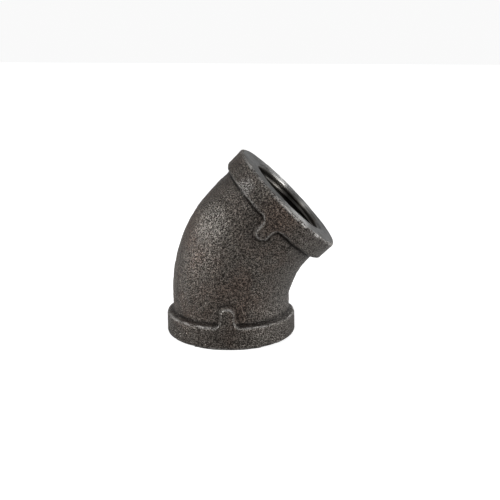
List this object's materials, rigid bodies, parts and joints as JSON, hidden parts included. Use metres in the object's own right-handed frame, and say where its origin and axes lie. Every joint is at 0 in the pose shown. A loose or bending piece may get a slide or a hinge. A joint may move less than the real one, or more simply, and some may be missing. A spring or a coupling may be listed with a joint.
{
  "type": "pipe elbow",
  "caption": "Short one-piece 45 degree pipe elbow in rough dark cast iron, with banded female threaded ends and low rounded lugs on the bands.",
  "frame": {"origin": "centre of the lower port's machined end face", "axes": "+Z runs along the lower port's axis into the fitting, the upper port's axis lies in the XZ plane and leans 45 degrees from +Z towards +X, and +Y completes a right-handed frame; the XZ plane is the plane of the bend"},
  "size_m": [0.0585, 0.0454, 0.0643],
  "materials": {
    "black_iron": "rough sand-cast black iron"
  },
  "bodies": {
    "root": {"elbow_body": "black_iron"}
  },
  "joints": []
}
